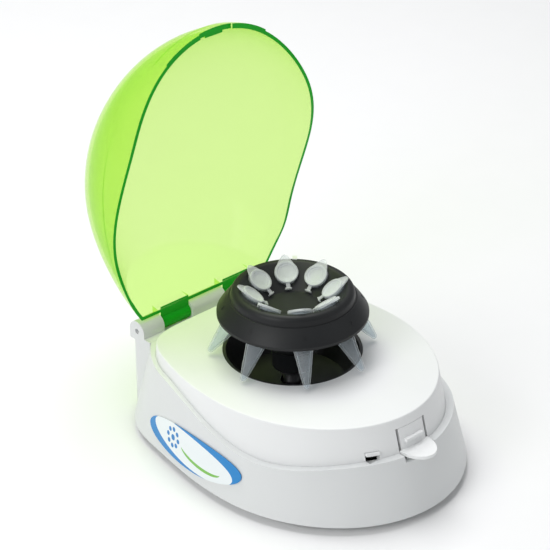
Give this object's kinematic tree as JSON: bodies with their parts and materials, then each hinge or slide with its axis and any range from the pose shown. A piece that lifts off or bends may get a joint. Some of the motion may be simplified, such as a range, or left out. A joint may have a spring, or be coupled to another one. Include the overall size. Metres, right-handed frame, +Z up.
{
  "type": "laboratory centrifuge",
  "caption": "Small bench centrifuge with a clear green hinged dome lid, egg-shaped white housing and a removable black rotor that holds small conical sample tubes.",
  "frame": {"origin": "middle of the open machine's box, on the surface that its feet stand on", "axes": "+Z up, -Y towards the latch at the front, +Y towards the hinge, +X to the right of a person facing the latch"},
  "size_m": [0.1489, 0.2412, 0.2198],
  "materials": {
    "housing_white": "satin moulded ABS",
    "deck_white": "satin moulded ABS",
    "lid_green": "clear tinted polycarbonate, polished",
    "rotor_black": "fine satin",
    "bowl_black": "satin",
    "tube_clear": "milky translucent polypropylene",
    "badge_blue": "printed film",
    "steel": "machined",
    "zinc_screw": "zinc plated",
    "rubber_black": "matte",
    "board_green": "solder mask",
    "component_black": "moulded",
    "connector_white": "moulded nylon",
    "capacitor_sleeve": "printed sleeve",
    "aluminium": "turned",
    "brass": "bright",
    "plate_steel": "zinc sheet",
    "index_white": "moulded insert"
  },
  "bodies": {
    "base": {"lower_housing": "housing_white", "upper_housing": "deck_white", "microswitch": "component_black", "microswitch_bracket": "housing_white", "hinge_pins": "steel", "housing_screws": "zinc_screw", "oval_badge": "badge_blue", "rotor_bowl": "bowl_black", "bowl_screws": "zinc_screw", "motor_can": "steel", "motor_end_cap": "component_black", "motor_terminals": "brass", "motor_bush": "brass", "motor_plate": "plate_steel", "motor_screws": "zinc_screw", "motor_grommets": "rubber_black", "motor_mount_screws": "zinc_screw", "circuit_board": "board_green", "board_screws": "zinc_screw", "board_capacitor": "capacitor_sleeve", "board_regulator": "component_black", "board_sockets": "connector_white", "power_switch_frame": "component_black", "power_inlet": "component_black", "power_inlet_pin": "brass", "power_inlet_nut": "plate_steel", "rubber_foot_1": "rubber_black", "rubber_foot_2": "rubber_black", "rubber_foot_3": "rubber_black", "rubber_foot_4": "rubber_black"},
    "lid": {"lid": "lid_green"},
    "latch": {"latch_tongue": "deck_white"},
    "interlock": {"interlock_bar": "deck_white"},
    "rocker": {"power_rocker": "component_black"},
    "spindle": {"motor_shaft": "steel", "drive_hub": "aluminium", "rotor_grip_ring": "rubber_black"},
    "rotor": {"rotor": "rotor_black", "rotor_index_mark": "index_white", "microtube_1": "tube_clear", "microtube_2": "tube_clear", "microtube_3": "tube_clear", "microtube_4": "tube_clear", "microtube_5": "tube_clear", "microtube_6": "tube_clear", "microtube_7": "tube_clear", "microtube_8": "tube_clear", "microtube_cap_1": "tube_clear", "microtube_cap_2": "tube_clear", "microtube_cap_3": "tube_clear", "microtube_cap_4": "tube_clear", "microtube_cap_5": "tube_clear", "microtube_cap_6": "tube_clear", "microtube_cap_7": "tube_clear", "microtube_cap_8": "tube_clear"}
  },
  "joints": [
    {"name": "lid_hinge", "type": "hinge", "parent": "base", "child": "lid", "pos_m": [0, 0.0569, 0.0511], "axis": [1, 0, 0], "range_deg": [0, 90]},
    {"name": "latch_flex", "type": "hinge", "parent": "base", "child": "latch", "pos_m": [0, -0.10291, 0.0481], "axis": [1, 0, 0], "range_deg": [0, 4], "stiffness_Nm_per_rad": 0.5},
    {"name": "interlock_press", "type": "slide", "parent": "base", "child": "interlock", "axis": [0, 0, -1], "range_m": [0, 0.0015], "stiffness_N_per_m": 300},
    {"name": "power_rocker_tilt", "type": "hinge", "parent": "base", "child": "rocker", "pos_m": [0.024, 0.059, 0.02625], "axis": [1, 0, 0], "range_deg": [0, 14]},
    {"name": "spindle_spin", "type": "hinge", "parent": "base", "child": "spindle", "pos_m": [0, -0.016, 0.023], "axis": [0, 0, 1], "continuous": true},
    {"name": "rotor_lift", "type": "slide", "parent": "spindle", "child": "rotor", "axis": [0, 0, -1], "range_m": [-0.042, 0]}
  ]
}
